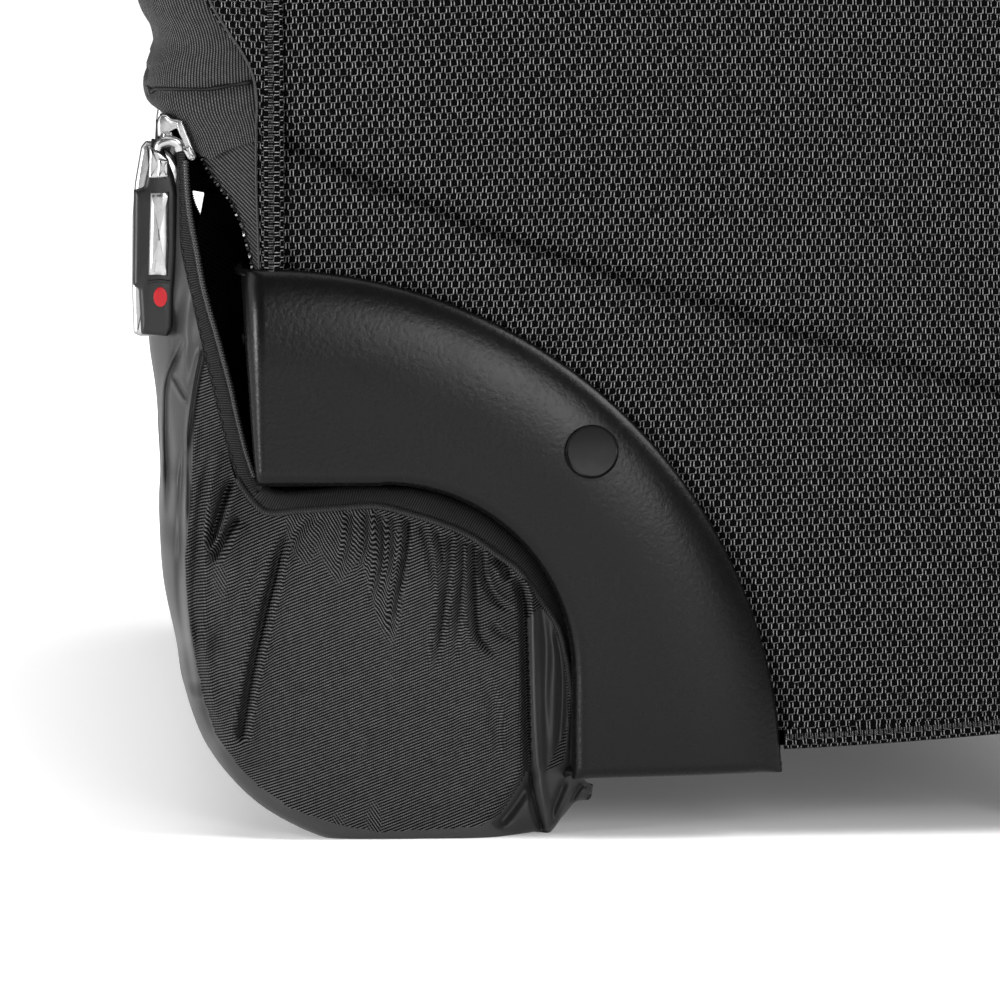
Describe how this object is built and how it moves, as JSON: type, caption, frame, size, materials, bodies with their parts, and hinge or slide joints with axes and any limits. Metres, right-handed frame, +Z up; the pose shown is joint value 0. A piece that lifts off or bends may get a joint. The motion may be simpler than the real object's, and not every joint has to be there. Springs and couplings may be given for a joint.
{
  "type": "rolling laptop case",
  "caption": "Soft-sided rolling laptop case with corner wheels, moulded corner guards, a zip-on fabric wheel cover, a telescopic handle and a hinged lid.",
  "frame": {"origin": "on the floor, under the middle of the case's bounding box", "axes": "+X across the case, along the wheel axle; +Y towards the back, where the wheels and the wheel cover are; -Y towards the lid and its pocket; +Z up"},
  "size_m": [0.4408, 0.2586, 0.41],
  "materials": {
    "ballistic_nylon": "coarse basket weave",
    "twill_nylon": "fine twill",
    "tape": "woven zip tape",
    "lining": "plain weave",
    "guard_plastic": "fine grain, satin",
    "cap_plastic": "satin",
    "shell_plastic": "fine grain",
    "button_plastic": "satin",
    "grey_plastic": "satin",
    "tyre_rubber": "matt",
    "pull_rubber": "satin",
    "steel": "satin",
    "zinc": "bright",
    "aluminium": "anodised"
  },
  "bodies": {
    "case": {"side_panel_left": "ballistic_nylon", "side_panel_right": "ballistic_nylon", "top_panel": "ballistic_nylon", "bottom_panel": "ballistic_nylon", "back_board": "twill_nylon", "base_tray": "shell_plastic", "back_pad": "twill_nylon", "cover_flap": "twill_nylon", "wheel_cover": "twill_nylon", "cover_zip": "tape", "wheel_guard_left": "guard_plastic", "wheel_guard_right": "guard_plastic", "guard_rivets": "cap_plastic", "axle_bolts": "steel", "axle_nuts": "steel", "foot_left": "guard_plastic", "foot_right": "guard_plastic", "base_screws": "steel", "trolley_outer_tubes": "aluminium", "trolley_bezel": "shell_plastic", "trolley_bracket": "shell_plastic", "laptop_sleeve": "lining", "main_zip_tape": "tape", "handle_anchors": "shell_plastic", "edge_piping": "tape"},
    "wheel_left": {"tyre_left": "tyre_rubber", "hub_left": "grey_plastic", "bearings_left": "steel"},
    "wheel_right": {"tyre_right": "tyre_rubber", "hub_right": "grey_plastic", "bearings_right": "steel"},
    "mid_stage": {"mid_tubes": "aluminium", "mid_collars": "shell_plastic", "mid_lock_blocks": "grey_plastic"},
    "inner_stage": {"inner_tubes": "aluminium", "grip_lower_shell": "shell_plastic", "grip_upper_shell": "shell_plastic", "inner_lock_blocks": "grey_plastic", "button_spring": "steel"},
    "button": {"grip_button": "button_plastic", "push_rods": "steel"},
    "pin_left": {"lock_pin_left": "steel"},
    "pin_right": {"lock_pin_right": "steel"},
    "lid": {"lid_panel": "ballistic_nylon", "lid_gusset": "ballistic_nylon", "front_pocket": "ballistic_nylon", "lid_zip_tape": "tape", "pocket_zip": "tape"},
    "carry_handle": {"handle_grip": "cap_plastic", "handle_straps": "tape"},
    "main_slider_left_body": {"main_slider_left": "zinc"},
    "main_slider_right_body": {"main_slider_right": "zinc"},
    "pocket_slider_body": {"pocket_slider": "zinc"},
    "cover_slider_left_body": {"cover_slider_left": "zinc"},
    "cover_slider_right_body": {"cover_slider_right": "zinc"},
    "main_pull_left_body": {"main_pull_left": "pull_rubber"},
    "main_pull_right_body": {"main_pull_right": "pull_rubber"},
    "pocket_pull_body": {"pocket_pull": "pull_rubber"},
    "cover_pull_left_body": {"cover_pull_left": "pull_rubber"},
    "cover_pull_right_body": {"cover_pull_right": "pull_rubber"}
  },
  "joints": [
    {"name": "wheel_left_spin", "type": "hinge", "parent": "case", "child": "wheel_left", "pos_m": [-0.194, 0.0785, 0.035], "axis": [1, 0, 0], "continuous": true},
    {"name": "wheel_right_spin", "type": "hinge", "parent": "case", "child": "wheel_right", "pos_m": [0.194, 0.0785, 0.035], "axis": [1, 0, 0], "continuous": true},
    {"name": "mid_stage_slide", "type": "slide", "parent": "case", "child": "mid_stage", "axis": [0, 0, 1], "range_m": [0, 0.265]},
    {"name": "inner_stage_slide", "type": "slide", "parent": "mid_stage", "child": "inner_stage", "axis": [0, 0, 1], "range_m": [0, 0.265]},
    {"name": "button_press", "type": "slide", "parent": "inner_stage", "child": "button", "axis": [0, 0, -1], "range_m": [0, 0.0025], "stiffness_N_per_m": 400, "springref_m": -0.006, "deforming": ["button_spring"]},
    {"name": "pin_left_retract", "type": "slide", "parent": "inner_stage", "child": "pin_left", "axis": [1, 0, 0], "range_m": [0, 0.0015]},
    {"name": "pin_right_retract", "type": "slide", "parent": "inner_stage", "child": "pin_right", "axis": [-1, 0, 0], "range_m": [0, 0.0015]},
    {"name": "lid_open", "type": "hinge", "parent": "case", "child": "lid", "pos_m": [0, -0.075, 0.018], "axis": [1, 0, 0], "range_deg": [0, 40]},
    {"name": "carry_handle_swing", "type": "hinge", "parent": "case", "child": "carry_handle", "pos_m": [0, 0.012, 0.376], "axis": [1, 0, 0], "range_deg": [-80, 80]},
    {"name": "main_slider_left_slide", "type": "slide", "parent": "case", "child": "main_slider_left_body", "axis": [-1, 0, 0], "range_m": [0, 0.18]},
    {"name": "main_pull_left_swing", "type": "hinge", "parent": "main_slider_left_body", "child": "main_pull_left_body", "pos_m": [-0.008, -0.0753, 0.3746], "axis": [1, 0, 0], "range_deg": [0, 175]},
    {"name": "cover_slider_left_slide", "type": "slide", "parent": "case", "child": "cover_slider_left_body", "axis": [1, 0, 0], "range_m": [0, 0.15]},
    {"name": "cover_pull_left_swing", "type": "hinge", "parent": "cover_slider_left_body", "child": "cover_pull_left_body", "pos_m": [-0.202, 0.1255, 0.1425], "axis": [1, 0, 0], "range_deg": [0, 165]},
    {"name": "main_slider_right_slide", "type": "slide", "parent": "case", "child": "main_slider_right_body", "axis": [1, 0, 0], "range_m": [0, 0.18]},
    {"name": "main_pull_right_swing", "type": "hinge", "parent": "main_slider_right_body", "child": "main_pull_right_body", "pos_m": [0.008, -0.0753, 0.3746], "axis": [1, 0, 0], "range_deg": [0, 175]},
    {"name": "cover_slider_right_slide", "type": "slide", "parent": "case", "child": "cover_slider_right_body", "axis": [-1, 0, 0], "range_m": [0, 0.15]},
    {"name": "cover_pull_right_swing", "type": "hinge", "parent": "cover_slider_right_body", "child": "cover_pull_right_body", "pos_m": [0.202, 0.1255, 0.1425], "axis": [1, 0, 0], "range_deg": [0, 165]},
    {"name": "pocket_slider_slide", "type": "slide", "parent": "lid", "child": "pocket_slider_body", "axis": [-1, 0, 0], "range_m": [0, 0.2]},
    {"name": "pocket_pull_swing", "type": "hinge", "parent": "pocket_slider_body", "child": "pocket_pull_body", "pos_m": [0.11, -0.1255, 0.218], "axis": [-1, 0, 0], "range_deg": [0, 165]}
  ],
  "couplings": [
    {"joint": "pin_left_retract", "follows": "button_press", "ratio": 0.6},
    {"joint": "pin_right_retract", "follows": "button_press", "ratio": 0.6}
  ]
}
